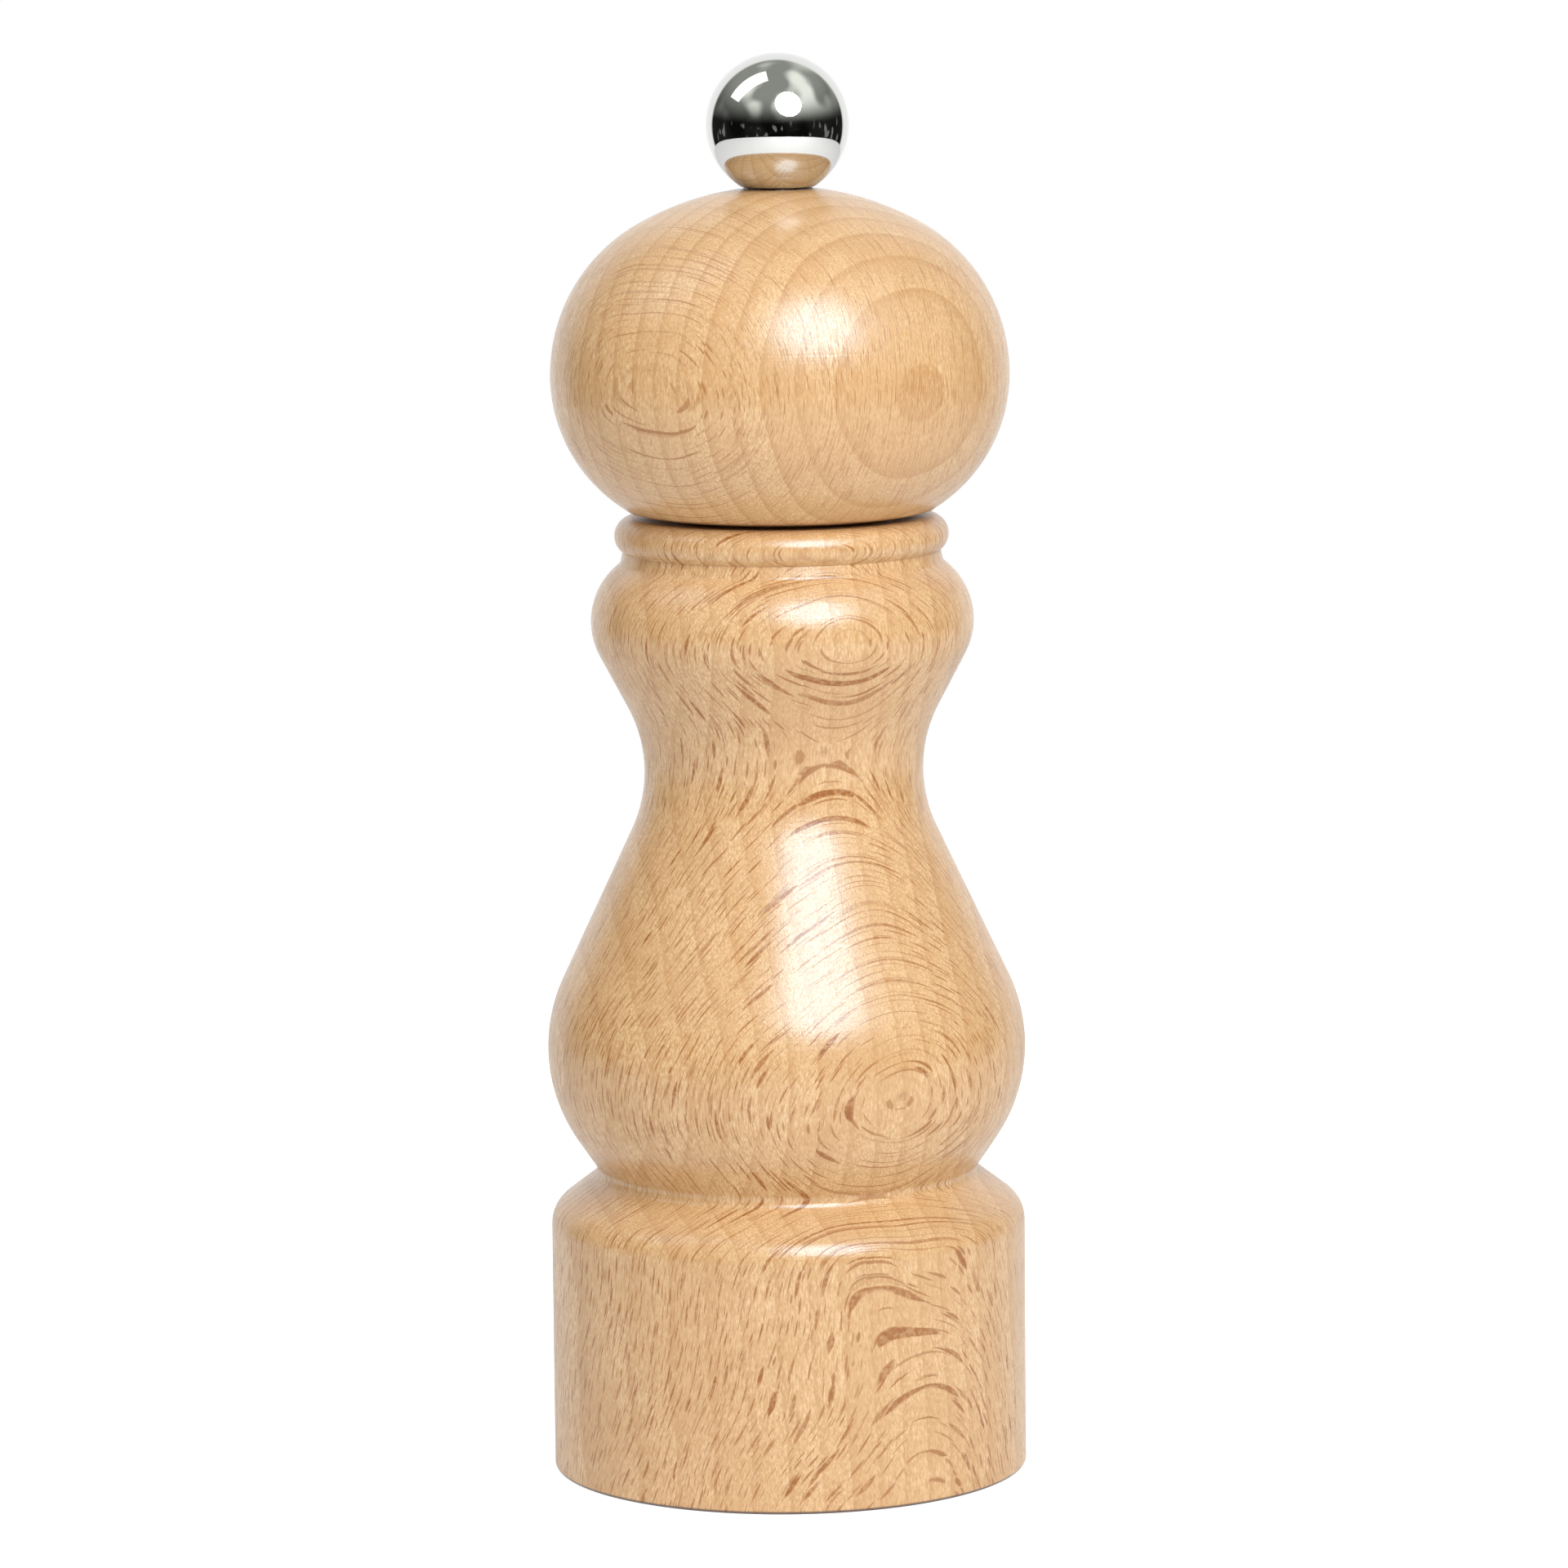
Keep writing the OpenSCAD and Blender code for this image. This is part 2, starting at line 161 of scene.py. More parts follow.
def rounded(corners, step=2.5):
    """Replaces each corner of a chain of [r, z, rounding] by the arc that touches both its sides.

    The arc's centre lies on the corner's bisector, at rounding / sin(half the corner's angle).
    Points on the arc are about step degrees apart."""
    chain = []
    for before, here, after in zip([None] + corners[:-1], corners, corners[1:] + [None]):
        p = np.array(here[:2], float)
        if before is None or after is None or here[2] == 0:
            chain.append(p[None])
            continue
        u, w = np.array(before[:2]) - p, np.array(after[:2]) - p
        u, w = u / np.linalg.norm(u), w / np.linalg.norm(w)
        half = math.acos(u @ w) / 2
        centre = p + (u + w) / np.linalg.norm(u + w) * here[2] / math.sin(half)
        first, last = (p + d * here[2] / math.tan(half) - centre for d in (u, w))
        a0 = math.degrees(math.atan2(first[1], first[0]))
        sweep = (math.degrees(math.atan2(last[1], last[0])) - a0 + 180) % 360 - 180
        chain.append(arc(centre[0], centre[1], here[2], a0, a0 + sweep, step))
    return np.concatenate(chain)


def even(outline, step=0.8):
    """Adds points along straight runs, so that no two neighbours are further apart than step."""
    outline = np.asarray(outline, float)
    length = np.linalg.norm(np.diff(outline, axis=0), axis=1)
    parts = np.maximum(1, np.ceil(length / step).astype(int))
    place = np.repeat(np.arange(len(parts)), parts)
    share = (np.arange(parts.sum()) - np.repeat(np.cumsum(parts) - parts, parts)) / parts[place]
    between = outline[place] + share[:, None] * (outline[place + 1] - outline[place])
    return np.concatenate([between, outline[-1:]])


print("a rounded square corner has", len(rounded([[0, 0, 0], [9, 0, 3], [9, 9, 0]])), "points")

# %% [markdown]
# ## The turned body
#
# The body is one piece of beech, turned on a lathe and bored right through: a plain cylinder
# for a foot, a tight groove, a full bulge, a narrow waist, a smaller bulge, and a bead that
# the head sits on. It could be a spun curve with a screw modifier, but an outline worked out
# from a few radii and roundings is what a turner marks on the blank, and it gives clean rings of
# quads that carry highlights well. The outline goes on down the bores, so the wall is closed.
# Nobody looks closely into the bores, so their points are further apart.

# %% Turn the body
bead_x, bead_z, bead_r, under_bead = 18.7, 119.5, 2.4, math.radians(-55)
body_top = bead_z + bead_r
outside = rounded([
    [23.6, 0, 0], [30.2, 0, 0.6],           # the ring it stands on, and its edge
    [30.2, 33.5, 4.1], [23.9, 38.3, 1.3],   # shoulder of the foot, groove
    [33.4, 52.3, 20.5], [15.6, 90.1, 17.6],  # lower bulge, waist
    [26.5, 110.8, 9], [20.4, 116, 0.8],     # upper bulge, neck under the bead
    [bead_x + bead_r * math.cos(under_bead), bead_z + bead_r * math.sin(under_bead), 0]])
bead = arc(bead_x, bead_z, bead_r, -52, 90, 4)
bores = rounded([
    [bead_x - 0.3, body_top, 0], [13.2, body_top, 0.5],
    [13.2, 111.9, 0.3], [12, 111.9, 0.4],   # socket for the tenon
    [12, 48, 3], [17.5, 42, 2],             # pepper bore, opening to the burrs
    [17.5, 8, 0.2], [23, 8, 0.4],           # burr chamber, recess for the base plate
    [23, 0.6, 0], [23.6, 0, 0]], 12)
body_outline = np.concatenate([even(outside, 1.2), bead, even(bores[:-1], 3)])
body_wood = make_piece("body_wood", lathe(body_outline), loop=True)
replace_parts(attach(body_wood, "mill_body"), "body")

# %% [markdown]
# ## The head and its tenon
#
# The head is a flattened sphere. Two circles meet at its widest line, and a flatter circle
# closes the crown: its centre lies on the axis where it touches the upper circle without a
# corner. The lower edge is eased away from the bead, which opens the dark joint that one sees
# between them. Under the head the tenon reaches into the body's socket, and the shaft's bore
# goes up through both, so this outline is a closed loop as well.

# %% Turn the head
widest_r, widest_z, head_top, head_low = 28.9, 139.7, 163.3, 122.1
upper_r, lower_r, ease = 21.7, 19.8, 0.9
side_x, low_x = widest_r - upper_r, widest_r - lower_r
climb = head_top - widest_z
crown_r = (side_x ** 2 + climb ** 2 - upper_r ** 2) / (2 * (climb - upper_r))
crown_z = head_top - crown_r
meet = math.degrees(math.atan2(widest_z - crown_z, side_x))
edge = math.degrees(math.asin((widest_z - head_low - ease) / lower_r))
edge_x = low_x + lower_r * math.cos(math.radians(edge))
washer_r, washer_z, bore_r, tenon_r, tenon_z = 4.4, 162.4, 3.6, 12.9, 113.5
recess_edge = math.degrees(math.acos(washer_r / crown_r))
shell = np.concatenate([
    [[edge_x - 3.4, head_low], [edge_x - 1.8, head_low + 0.28],
     [edge_x - 0.35, head_low + 0.64]],
    arc(low_x, widest_z, lower_r, -edge, 0, 1.8),
    arc(side_x, widest_z, upper_r, 1.8, meet, 1.8),
    arc(0, crown_z, crown_r, meet + 1.2, recess_edge, 1.2)])
under = [[washer_r, washer_z], [bore_r, washer_z], [bore_r, tenon_z + 0.3],
         [bore_r + 0.3, tenon_z], [tenon_r - 0.5, tenon_z], [tenon_r, tenon_z + 0.5],
         [tenon_r, head_low - 0.02], [edge_x - 3.5, head_low - 0.02]]
head_wood = make_piece(
    "head_wood", lathe(np.concatenate([even(shell), even(under, 2)])), loop=True)
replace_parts(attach(head_wood, "mill_head"), "head")

# %% [markdown]
# ## The ball knob
#
# The knob is a solid metal ball with a small flat foot, bored from below for its threaded
# insert. Nothing shows a lumpy surface as plainly as a mirror does, so its rings are close
# together. The bore ends in a blunt cone, as a drill leaves it.

# %% Turn the knob
ball_r, ball_z, foot_z, insert_r = 9.0, 171.0, 163.2, 4
foot = math.degrees(math.asin((ball_z - foot_z) / ball_r))
ball_outline = np.concatenate([
    [[0, 175.5], [2.6, 174.8], [insert_r, 173.8], [insert_r, foot_z], [insert_r + 0.3, foot_z]],
    arc(0, ball_z, ball_r, -foot + 1.2, 90, 2)])
ball_outline[-1] = [0, ball_z + ball_r]
knob_ball = make_piece("knob_ball", lathe(ball_outline, 160), poles=(True, True))
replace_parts(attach(knob_ball, "knob_assembly"), "knob")

# %% [markdown]
# ## The shaft
#
# A square steel bar runs from the burrs to the knob. Its corners are turned down a little, and
# both ends carry a thread with a pitch of 0.8 mm. In polar coordinates all three are one
# function of angle and height: the square is the half width divided by the larger of cosine
# and sine, the corners stop at a fixed radius, and the thread is a ridge whose height runs
# round with the angle. So the whole shaft is one grid, with columns set on the square's corners.

# %% Squares and threads as functions of the angle
half_width, corner_r, thread_end_r = 2.5, 3.3, 2.1
corner = math.degrees(math.acos(half_width / corner_r))
quarter = np.concatenate([np.linspace(-corner, corner, 11), [43.6, 46.4]])
around = np.radians((quarter + np.arange(4)[:, None] * 90).ravel())


def polar(height, radius, turn):
    """Rows at the given heights, one radius for each angle: x = r cos(t), y = r sin(t), z = h."""
    radius = np.broadcast_to(radius, (len(height), len(turn))) * MM
    z = np.broadcast_to(height[:, None] * MM, radius.shape)
    return np.stack([radius * np.cos(turn), radius * np.sin(turn), z], -1)


def square_radius(half, turn, limit=np.inf):
    """Half the width over the larger of cosine and sine of the angle, cut off at a limit."""
    return np.minimum(half / np.maximum(abs(np.cos(turn)), abs(np.sin(turn))), limit)


def thread(height, end, way, crest=2.5, depth=0.42, pitch=0.8):
    """Rows of a right-hand thread: the crest less a triangle wave of (height / pitch - turn).

    It is cut back by 45 degrees at its end, which lies above or below it, as way is -1 or 1."""
    phase = (height[:, None] / pitch - around / (2 * np.pi)) % 1
    radius = crest - depth * np.clip(1.25 * (1 - abs(2 * phase - 1)) - 0.12, 0, 1)
    chamfer = thread_end_r + np.clip(way * (height[:, None] - end), 0, 1)
    return polar(height, np.minimum(radius, chamfer), around)


print("shaft:", len(around), "columns, corners at", round(corner, 1), "degrees")

# %% Stack the rows of the shaft
shaft_low, shaft_top, row_step = 3.4, 174.0, 0.06
bar = square_radius(half_width, around, corner_r)
shaft_rows = [
    polar(np.array([shaft_low]), 0.0, around),
    thread(np.arange(shaft_low, 7.35, row_step), shaft_low, 1),
    polar(np.array([7.4, 7.4, 7.7]), np.stack([
        np.full(len(around), half_width), square_radius(half_width, around, 3.0), bar]), around),
    polar(np.array([60.0, 110.0, 157.6, 158.0]), np.stack(
        [bar] * 3 + [square_radius(half_width, around, 2.9)]), around),
    polar(np.array([158.02]), 2.45, around),
    thread(np.arange(158.1, shaft_top, row_step), shaft_top, -1),
    polar(np.array([shaft_top]), thread_end_r, around),
    polar(np.array([shaft_top]), 0.0, around)]
shaft_bar = make_piece("shaft_bar", np.concatenate(shaft_rows), poles=(True, True))
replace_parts(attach(shaft_bar, "spindle"), "shaft")

# %% [markdown]
# ## The spring
#
# The spring is a round wire along a helix. A sine term holds the first and last turns almost
# level, as closed and ground ends are. Its upper end stays under the bridge while the lower end
# moves with the shaft; here the coil is baked where it stands, as one fixed piece.

# %% Wind the spring
turns, coil_r, wire_r, levelling = 4.5, 4.5, 0.53, 0.139
share = np.linspace(0, 1, 260)
coil_turn = 2 * np.pi * turns * share
spring_low, spring_high = 20.82 + wire_r, 30.98 - wire_r
coil_z = spring_low + (spring_high - spring_low) * (
    share - np.sin(2 * np.pi * share) * levelling)
ring_turn = np.linspace(0, 2 * np.pi, 16, endpoint=False)
reach = coil_r + wire_r * np.cos(ring_turn)
wire = np.stack([
    reach * np.cos(coil_turn)[:, None],
    reach * np.sin(coil_turn)[:, None],
    coil_z[:, None] + wire_r * np.sin(ring_turn)], -1) * MM
ends = wire[[0, -1]].mean(axis=1, keepdims=True) + 0 * wire[:2]
spring_coil = make_piece(
    "spring_coil", np.concatenate([ends[:1], wire, ends[1:]]), poles=(True, True), crease=50)
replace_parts(spring_coil, "spring")
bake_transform(spring_coil)

# %% [markdown]
# ## The inner burr
#
# The inner burr is a hardened cone. Its wide foot has fine, slightly slanted teeth that grind,
# and above them six steep spiral ribs crack the corns and draw them down. Both are ripples on a
# cone: a saw-shaped wave of the angle, whose start turns with the height. The square hole for
# the shaft is the inside of the same closed grid.

# %% Cut the inner burr
burr_low, burr_mid, burr_high = 7.4, 13.0, 20.0
around_burr = np.linspace(0, 2 * np.pi, 300, endpoint=False)


def saw(count, slant, height, crest=0.7):
    """0 at the root to 1 at the crest of each tooth: a slow rise and a quick fall."""
    phase = (around_burr * count / (2 * np.pi) - slant * height[:, None]) % 1
    return np.where(phase < crest, phase / crest, (1 - phase) / (1 - crest))


fine = np.linspace(burr_low, burr_mid, 17)
coarse = np.linspace(burr_mid, burr_high, 33)
fine_cone = 12 - 0.375 * (fine - burr_low)
coarse_cone = 9.5 * (1 - 0.38 * (coarse - burr_mid) / (burr_high - burr_mid))
fine_r = fine_cone[:, None] - 0.7 * (1 - saw(30, 0.12, fine))
coarse_r = coarse_cone[:, None] * (1 - 0.2 * (1 - saw(6, 0.13, coarse)).clip(0) ** 0.8)
hole = square_radius(2.55, around_burr)
inner_burr_cone = make_piece("inner_burr_cone", np.concatenate([
    polar(fine, fine_r, around_burr), polar(coarse, coarse_r, around_burr),
    polar(np.array([burr_high, burr_high - 0.3]), np.stack([hole + 0.3, hole]), around_burr),
    polar(np.array([burr_low + 0.2, burr_low]), np.stack([hole, hole + 0.2]), around_burr)]),
    loop=True)
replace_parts(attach(inner_burr_cone, "spindle"), "inner_burr")

# %% [markdown]
# ## Helpers for node materials
#
# A procedural material is a chain of small sums. These helpers add one node at a time, so a
# finish below reads as the rule it follows and not as a list of sockets.

# %% One node at a time
def add(tree, kind, inputs=None, **settings):
    """Adds a node, sets its properties, and fills or links its inputs."""
    node = tree.nodes.new(kind)
    for key, value in settings.items():
        setattr(node, key, value)
    for key, value in (inputs or {}).items():
        if isinstance(value, bpy.types.NodeSocket):
            tree.links.new(value, node.inputs[key])
        else:
            node.inputs[key].default_value = value
    return node


def calc(tree, operation, *values, clamp=False):
    """One Math node."""
    return add(tree, "ShaderNodeMath", dict(enumerate(values)), operation=operation,
               use_clamp=clamp).outputs[0]


def square(tree, value):
    """A value times itself."""
    return calc(tree, "MULTIPLY", value, value)


def weighed(tree, start, *terms):
    """The start plus each value times its weight."""
    for value, weight in terms:
        start = calc(tree, "MULTIPLY_ADD", value, weight, start)
    return start


def step(tree, value, low, high, out_low=0.0, out_high=1.0):
    """A smooth step from out_low to out_high as value goes from low to high."""
    return add(tree, "ShaderNodeMapRange", {
        "Value": value, "From Min": low, "From Max": high, "To Min": out_low,
        "To Max": out_high}, interpolation_type="SMOOTHSTEP").outputs[0]


def mix(tree, share, a, b):
    """Mixes two colours: all a where the share is 0, all b where it is 1."""
    return add(tree, "ShaderNodeMix", {0: share, 6: a, 7: b}, data_type="RGBA").outputs[2]


def split(tree, vector):
    """The three parts of a vector or a colour."""
    return add(tree, "ShaderNodeSeparateXYZ", {0: vector}).outputs


def combine(tree, x, y, z):
    """Three values as a vector."""
    return add(tree, "ShaderNodeCombineXYZ", {"X": x, "Y": y, "Z": z}).outputs[0]


def noise(tree, vector, scale, detail=2.0, rough=0.5):
    """Smooth noise from 0 to 1."""
    return add(tree, "ShaderNodeTexNoise", {
        "Vector": vector, "Scale": scale, "Detail": detail, "Roughness": rough}).outputs[0]


print("helpers for single nodes are ready")


# %% Groups, materials and colours
def new_group(name, inputs, outputs):
    """A shader node group with named inputs and outputs."""
    tree = bpy.data.node_groups.new(name, "ShaderNodeTree")
    for label, kind, value in inputs:
        socket = tree.interface.new_socket(label, in_out="INPUT", socket_type=kind)
        if value is not None:
            socket.default_value = value
    for label in outputs:
        tree.interface.new_socket(label, in_out="OUTPUT", socket_type="NodeSocketFloat")
    return tree, tree.nodes.new("NodeGroupInput").outputs, tree.nodes.new("NodeGroupOutput").inputs


def new_material(name):
    """A material with its tree, its shader, and the object coordinates in metres."""
    material = bpy.data.materials.new(name)
    material.use_nodes = True
    tree = material.node_tree
    shader = tree.nodes["Principled BSDF"]
    place = add(tree, "ShaderNodeTexCoord").outputs["Object"]
    return material, tree, shader, place


def relief(tree, shader, height, strength, distance):
    """Bumps the surface by a height from 0 to 1, which stands for a distance in millimetres."""
    bump = add(tree, "ShaderNodeBump", {
        "Height": height, "Strength": strength, "Distance": distance * MM})
    tree.links.new(bump.outputs[0], shader.inputs["Normal"])


def srgb(red, green, blue):
    """A colour given as 0 to 255 the way a screen shows it, in Blender's linear values."""
    c = np.array([red, green, blue]) / 255
    linear = np.where(c <= 0.04045, c / 12.92, ((c + 0.055) / 1.055) ** 2.4)
    return (*linear.tolist(), 1.0)


def dress(piece, material):
    """Puts one material on a piece, in place of those it has."""
    piece.data.materials.clear()
    piece.data.materials.append(material)


print("a screen's middle grey is", round(srgb(128, 128, 128)[0], 3), "in linear light")

# %% [markdown]
# ## Beech, as it grows
#
# Beech is told from other woods by its rays: thin upright sheets of tissue that run outwards
# from the heart of the tree. A turned shape cuts through them at every angle. Across them they
# are short brown dashes, and where the surface lies along them they open into broad flecks
# that ring the spot. A picture of the grain would have to be bent to every curve, so the wood is
# made solid instead, and the shape cuts it.
#
# The group works in the tree's own directions: out from the heart, round it, and up the trunk.
# The way round has three small corrections. Slow noise makes the rays wander, each year's ring
# pushes them aside by its own random amount, and below a certain height the trunk bends, so the
# rays there sweep sideways with the square of the depth.

# %% The tree's directions
grain, g_in, g_out = new_group(
    "beech_grain",
    [("Vector", "NodeSocketVector", None), ("Heart Distance", "NodeSocketFloat", 80.0),
     ("Ring Width", "NodeSocketFloat", 3.4), ("Ring Shift", "NodeSocketFloat", 0.0),
     ("Bend", "NodeSocketFloat", 0.0)],
    ("Rays", "Small Rays", "Rings", "Late Wood", "Fibre", "Pores", "Cloud"))
ring_wander, ray_wander, ray_year_shift, bend_start = 3.0, 4.0, 0.12, 15.0
trunk = split(grain, g_in["Vector"])
wander = split(grain, add(grain, "ShaderNodeTexNoise", {
    "Vector": g_in["Vector"], "Scale": 0.045, "Detail": 1.0}).outputs["Color"])
out_way = calc(grain, "SQRT", calc(grain, "ADD", square(grain, trunk[0]),
                                   square(grain, trunk[1])))
ring_way = weighed(grain, out_way, (calc(grain, "SUBTRACT", wander[1], 0.5), ring_wander))
ring_count = calc(grain, "ADD", calc(grain, "DIVIDE", ring_way, g_in["Ring Width"]),
                  g_in["Ring Shift"])
ring_share = calc(grain, "FRACT", ring_count)
year = add(grain, "ShaderNodeTexWhiteNoise", {"W": calc(grain, "FLOOR", ring_count)},
           noise_dimensions="1D").outputs[0]
round_way = calc(grain, "MULTIPLY", calc(grain, "ARCTAN2", trunk[1], trunk[0]),
                 g_in["Heart Distance"])
below = calc(grain, "MAXIMUM", calc(grain, "MULTIPLY",
                                    calc(grain, "ADD", trunk[2], bend_start), -1.0), 0.0)
round_way = weighed(grain, round_way, (calc(grain, "SUBTRACT", wander[0], 0.5), ray_wander),
                    (year, ray_year_shift), (square(grain, below), g_in["Bend"]))
print("directions of the tree:", len(grain.nodes), "nodes")

# %% [markdown]
# ## Ray sheets
#
# A Voronoi pattern puts one point in each cell of a stretched lattice and tells where it is. A
# ray is the lens around that point: thin across, a few millimetres tall, and long outwards. Each
# cell's random colour decides whether there is a ray in it, how thick and how tall. A second,
# finer lattice gives the small rays.

# %% Lens-shaped rays
def rays(cell, lens, often, seed):
    """Lens-shaped sheets, one in each cell of a lattice: inside where |across| / thickness plus
    the squares of the other two distances over their reaches is less than one.

    cell and lens are sizes in mm outwards, round and up; seed moves the lattice."""
    stretched = combine(grain, calc(grain, "DIVIDE", out_way, cell[0]),
                        calc(grain, "DIVIDE", round_way, cell[1]),
                        calc(grain, "DIVIDE", trunk[2], cell[2]))
    stretched = add(grain, "ShaderNodeVectorMath", {0: stretched, 1: (seed, seed, seed)},
                    operation="ADD").outputs[0]
    cells = add(grain, "ShaderNodeTexVoronoi", {
        "Vector": stretched, "Scale": 1.0, "Randomness": 0.9}, voronoi_dimensions="3D").outputs
    away = split(grain, add(grain, "ShaderNodeVectorMath", {
        0: stretched, 1: cells["Position"]}, operation="SUBTRACT").outputs[0])
    chance = split(grain, cells["Color"])
    thick = weighed(grain, 0.4, (square(grain, chance[0]), 0.6))
    tall = weighed(grain, 0.5, (chance[2], 0.5))
    shares = [calc(grain, "DIVIDE", calc(grain, "MULTIPLY", away[k], cell[k]),
                   calc(grain, "MULTIPLY", size, lens[k]))
              for k, size in enumerate((1.0, thick, tall))]
    inside = calc(grain, "ADD", square(grain, shares[0]),
                  calc(grain, "ADD", calc(grain, "ABSOLUTE", shares[1]),
                       square(grain, shares[2])))
    there = step(grain, chance[1], often, often - 0.3)
    return calc(grain, "MULTIPLY", step(grain, inside, 1.0, 0.6),
                calc(grain, "MULTIPLY", there, weighed(grain, 0.5, (thick, 0.5))))


big = rays(cell=(36.0, 0.85, 4.6), lens=(28.0, 0.23, 2.8), often=1.0, seed=5.3)
small = rays(cell=(22.0, 0.42, 2.6), lens=(16.0, 0.1, 1.6), often=1.0, seed=2.6)
big = calc(grain, "MULTIPLY", big, step(grain, noise(grain, g_in["Vector"], 1.6), 0.35, 0.6,
                                        0.55, 1.0))
print("with two sizes of rays:", len(grain.nodes), "nodes")

# %% [markdown]
# ## Rings, fibre and pores
#
# A growth ring is a slow rise and a quick fall of tone along the way out, with a fine dark line
# at its end. Noise that is drawn out along the trunk gives the fibres and pores, and each
# year's random number makes some rings a little darker than their neighbours.

# %% The rest of the grain
line = calc(grain, "MULTIPLY", step(grain, ring_share, 0.72, 0.95),
            step(grain, ring_share, 1.0, 0.97))
late = calc(grain, "POWER", ring_share, 1.5)
along = combine(grain, out_way, round_way, calc(grain, "MULTIPLY", trunk[2], 0.2))
fibre = noise(grain, along, 4.5, 3.0, 0.65)
specks = combine(grain, out_way, round_way, calc(grain, "MULTIPLY", trunk[2], 0.4))
pores = step(grain, noise(grain, specks, 5.0, 2.0), 0.5, 0.72)
cloud = weighed(grain, noise(grain, g_in["Vector"], 0.11, 2.0),
                (calc(grain, "SUBTRACT", year, 0.5), 0.25))
for label, value in (("Rays", big), ("Small Rays", small), ("Rings", line), ("Late Wood", late),
                     ("Fibre", fibre), ("Pores", pores), ("Cloud", cloud)):
    grain.links.new(value, g_out[label])
print("beech_grain:", len(grain.nodes), "nodes")

# %% [markdown]
# ## Lacquered beech
#
# The two turned pieces come from two blanks, so each gets the same wood with its own heart and
# lean. A Mapping node moves the tree's heart to its place beside the mill and leans the trunk.
# The lacquer is clear and half glossy, and thin enough that the rays and pores and the fine
# rings of the lathe's sanding still show in the shine, so they go into the bump and the
# roughness as well. A second coat in the shader would mirror the table too strongly near the
# edges. Instead the shine's own tint is a little blue, so over the warm wood the highlight comes
# out white. The last half millimetre of the foot is darkened with painted shade, a contact shadow
# along the edge it stands on.

# %% The beech material
early, late_tone, light_tone = srgb(226, 187, 139), srgb(206, 160, 108), srgb(242, 211, 168)
ray_tone, ring_tone, foot_contact_shade = srgb(160, 97, 36), srgb(190, 141, 88), srgb(96, 78, 74)


def beech(name, azimuth, distance, lean, ring_width, ring_shift, height, bend, rings, flecks,
          small_flecks):
    """Lacquered beech whose heart lies at an azimuth and a distance (mm) from the mill's axis.

    The trunk leans by two angles about a point at a height (m). Rings have a width (mm) and a
    shift (in rings). rings, flecks and small_flecks say how strongly each shows, from 0 to 1."""
    material, tree, shader, place = new_material(name)
    centred = add(tree, "ShaderNodeMapping", {
        "Vector": place, "Location": (0, 0, -height),
        "Rotation": (0, 0, math.radians(270 - azimuth))}).outputs[0]
    leaned = add(tree, "ShaderNodeMapping", {
        "Vector": centred, "Location": (distance, 0, 0),
        "Rotation": (math.radians(lean[0]), math.radians(lean[1]), 0),
        "Scale": (1000, 1000, 1000)}).outputs[0]
    wood = add(tree, "ShaderNodeGroup", {
        "Vector": leaned, "Heart Distance": distance, "Ring Width": ring_width,
        "Ring Shift": ring_shift, "Bend": bend}, node_tree=grain).outputs
    up = split(tree, place)[2]
    colour = early
    for share, tone in (
            (calc(tree, "MULTIPLY", wood["Late Wood"], 0.6), late_tone),
            (calc(tree, "MULTIPLY", wood["Rings"], rings), ring_tone),
            (step(tree, wood["Fibre"], 0.45, 0.65, 0, 0.85), late_tone),
            (step(tree, wood["Fibre"], 0.5, 0.32, 0, 0.6), light_tone),
            (calc(tree, "MULTIPLY", wood["Pores"], 0.5), ring_tone),
            (step(tree, wood["Cloud"], 0.35, 0.7, 0, 0.4), late_tone),
            (calc(tree, "MULTIPLY", wood["Small Rays"], small_flecks), ray_tone),
            (calc(tree, "MULTIPLY", wood["Rays"], flecks), ray_tone),
            # painted shade: the lowest half millimetre of the foot darkens as a contact shadow
            # where it meets the table
            (step(tree, up, 0.00055, 0.0003, 0, 0.85), foot_contact_shade)):
        colour = mix(tree, share, colour, tone)
    tree.links.new(colour, shader.inputs["Base Color"])
    sanding = noise(tree, combine(tree, 0.0, 0.0, calc(tree, "MULTIPLY", up, 1000)),
                    2.6, 3.0, 0.7)
    tree.links.new(weighed(tree, 0.17, (wood["Pores"], 0.07), (wood["Rays"], 0.06),
                           (sanding, 0.08)), shader.inputs["Roughness"])
    relief(tree, shader, weighed(tree, calc(tree, "MULTIPLY", sanding, 0.8),
                                 (wood["Rays"], -0.4), (wood["Pores"], -0.35),
                                 (wood["Fibre"], 0.25)), 0.5, 0.06)
    shader.inputs["IOR"].default_value = 1.58
    shader.inputs["Specular Tint"].default_value = (0.42, 0.76, 1.0, 1.0)
    return material


# %% Dress the body and the head
dress(body_wood, beech(
    "beech_body", azimuth=98, distance=85, lean=(9, 0), ring_width=3.5, ring_shift=0.2,
    height=0.06, bend=0.001, rings=0.25, flecks=1.0, small_flecks=0.8))
dress(head_wood, beech(
    "beech_head", azimuth=36, distance=75, lean=(0, 0), ring_width=3.3, ring_shift=0.92,
    height=0.1385, bend=0.0, rings=0.45, flecks=0.4, small_flecks=0.7))
print("beech on", body_wood.name, "and", head_wood.name)

# %% [markdown]
# ## Metal finishes
#
# The metals share one group. It gives fine lines left by drawing, rolling or turning, a soft
# blotchy film from handling, and tiny scratches, each as a mask. A material mixes them into
# its colour, roughness and bump with its own weights: the ball is nearly a perfect mirror, the
# plated plates are cloudier, and the hardened burrs are dark and rough.

